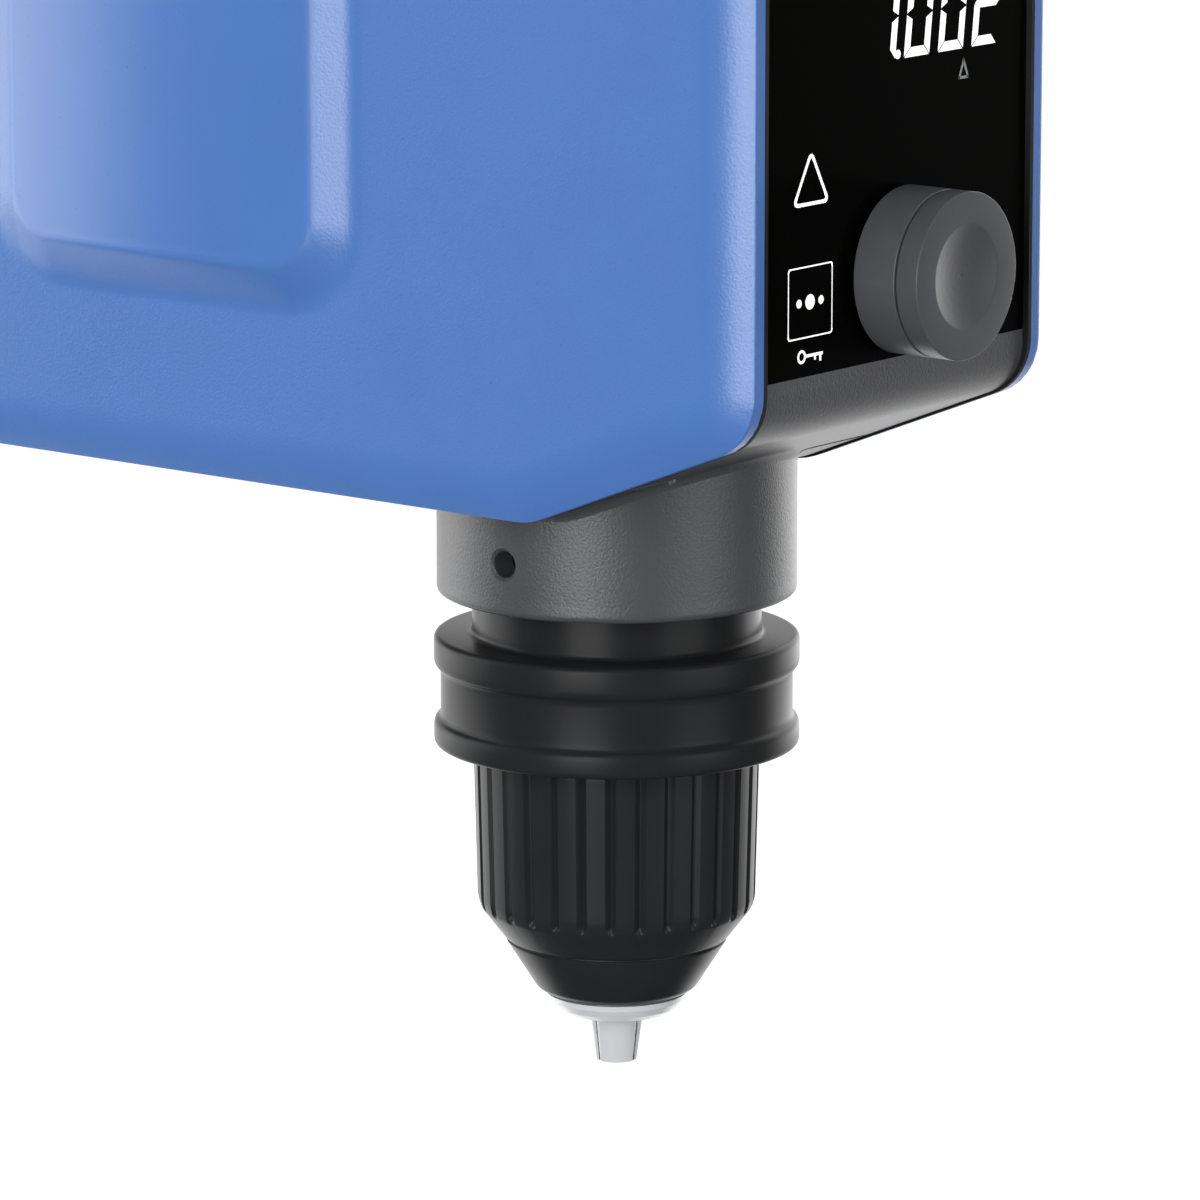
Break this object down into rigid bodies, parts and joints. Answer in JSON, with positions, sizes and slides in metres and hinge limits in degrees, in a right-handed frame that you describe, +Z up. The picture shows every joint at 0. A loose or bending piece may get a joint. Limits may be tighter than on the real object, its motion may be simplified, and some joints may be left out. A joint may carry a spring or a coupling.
{
  "type": "overhead stirrer",
  "caption": "Benchtop overhead stirrer: narrow upright drive housing with a keyless chuck on a hollow vertical spindle, a front control knob and display, and a rear support rod.",
  "frame": {"origin": "on the spindle axis, level with the top face of the flanged grip ring below the housing", "axes": "+Z up along the spindle, -Y towards the glass front, +Y along the support rod, +X to the right of someone who faces the front"},
  "size_m": [0.0878, 0.3982, 0.2468],
  "materials": {
    "blue_paint": "fine textured satin paint",
    "grey_cast": "fine textured dark grey coating",
    "grey_plastic": "satin moulded",
    "black_plastic": "moulded",
    "black_satin": "satin",
    "black_gloss": "semi-gloss",
    "black_glass": "gloss",
    "display": "display module",
    "black_rubber": "moulded",
    "circuit_board": "solder mask",
    "bare_steel": "ground",
    "bearing_steel": "ground",
    "chuck_steel": "turned and polished",
    "jaw_steel": "ground",
    "aluminium": "machined",
    "copper_winding": "enamelled copper on laminations",
    "nickel_pins": "nickel plated"
  },
  "bodies": {
    "housing": {"side_cover_left": "blue_paint", "side_cover_right": "blue_paint", "cover_gasket_left": "black_rubber", "cover_gasket_right": "black_rubber", "drive_casting": "grey_cast", "top_cover": "grey_cast", "rear_panel": "grey_plastic", "panel_screws": "bare_steel", "front_glass": "black_glass", "front_frame": "black_plastic", "display_module": "display", "control_board": "circuit_board", "encoder_housing": "bare_steel", "spindle_bearing_lower": "bearing_steel", "spindle_bearing_upper": "bearing_steel", "bearing_spacer": "aluminium", "drive_belt": "black_rubber", "motor_plate": "aluminium", "plate_screws": "bare_steel", "motor_can": "aluminium", "motor_stator": "copper_winding", "motor_bearings": "bearing_steel", "power_board": "circuit_board", "board_spacers": "black_plastic", "board_capacitors": "black_plastic", "heat_sink": "aluminium", "rod_bracket": "grey_cast", "rod_grub_screw": "bare_steel", "support_rod": "bare_steel", "power_inlet": "black_plastic", "inlet_pins": "nickel_pins", "switch_frame": "black_plastic"},
    "spindle": {"hollow_spindle": "bare_steel", "spindle_pulley": "aluminium", "grip_ring": "black_satin", "chuck_body": "chuck_steel"},
    "sleeve": {"chuck_sleeve": "black_gloss", "jaw_nut": "bearing_steel"},
    "jaw_1": {"jaw_1": "jaw_steel"},
    "jaw_2": {"jaw_2": "jaw_steel"},
    "jaw_3": {"jaw_3": "jaw_steel"},
    "motor": {"motor_rotor": "bearing_steel", "motor_shaft": "bare_steel", "motor_pulley": "aluminium"},
    "knob_plunger": {"encoder_plunger": "black_plastic"},
    "knob": {"knob_body": "grey_plastic", "knob_cap": "grey_plastic", "encoder_shaft": "bare_steel"},
    "power_switch": {"rocker": "black_plastic"},
    "cap": {"shaft_cap": "black_plastic"}
  },
  "joints": [
    {"name": "spindle_spin", "type": "hinge", "parent": "housing", "child": "spindle", "pos_m": [0, 0, 0], "axis": [0, 0, 1], "continuous": true},
    {"name": "sleeve_turn", "type": "hinge", "parent": "spindle", "child": "sleeve", "pos_m": [0, 0, -0.04], "axis": [0, 0, 1], "range_deg": [0, 1800]},
    {"name": "jaw_1_slide", "type": "slide", "parent": "spindle", "child": "jaw_1", "axis": [-0.1359, -0.1081, 0.9848], "range_m": [0, 0.0298]},
    {"name": "jaw_2_slide", "type": "slide", "parent": "spindle", "child": "jaw_2", "axis": [0.1616, -0.0636, 0.9848], "range_m": [0, 0.0298]},
    {"name": "jaw_3_slide", "type": "slide", "parent": "spindle", "child": "jaw_3", "axis": [-0.0257, 0.1717, 0.9848], "range_m": [0, 0.0298]},
    {"name": "motor_spin", "type": "hinge", "parent": "housing", "child": "motor", "pos_m": [0, 0.082, 0.1], "axis": [0, 0, 1], "continuous": true},
    {"name": "knob_press", "type": "slide", "parent": "housing", "child": "knob_plunger", "axis": [0, 1, 0], "range_m": [0, 0.0008], "stiffness_N_per_m": 4000, "springref_m": -0.0002},
    {"name": "knob_turn", "type": "hinge", "parent": "knob_plunger", "child": "knob", "pos_m": [0, -0.06, 0.0624], "axis": [0, -1, 0], "continuous": true},
    {"name": "power_rocker", "type": "hinge", "parent": "housing", "child": "power_switch", "pos_m": [0.015, 0.1372, 0.054], "axis": [1, 0, 0], "range_deg": [-16, 0]},
    {"name": "cap_lift", "type": "slide", "parent": "housing", "child": "cap", "axis": [0, 0, 1], "range_m": [0, 0.02]}
  ],
  "couplings": [
    {"joint": "jaw_1_slide", "follows": "sleeve_turn", "m_per_rad": 0.00094538},
    {"joint": "jaw_2_slide", "follows": "sleeve_turn", "m_per_rad": 0.00094538},
    {"joint": "jaw_3_slide", "follows": "sleeve_turn", "m_per_rad": 0.00094538},
    {"joint": "motor_spin", "follows": "spindle_spin", "ratio": 2}
  ]
}
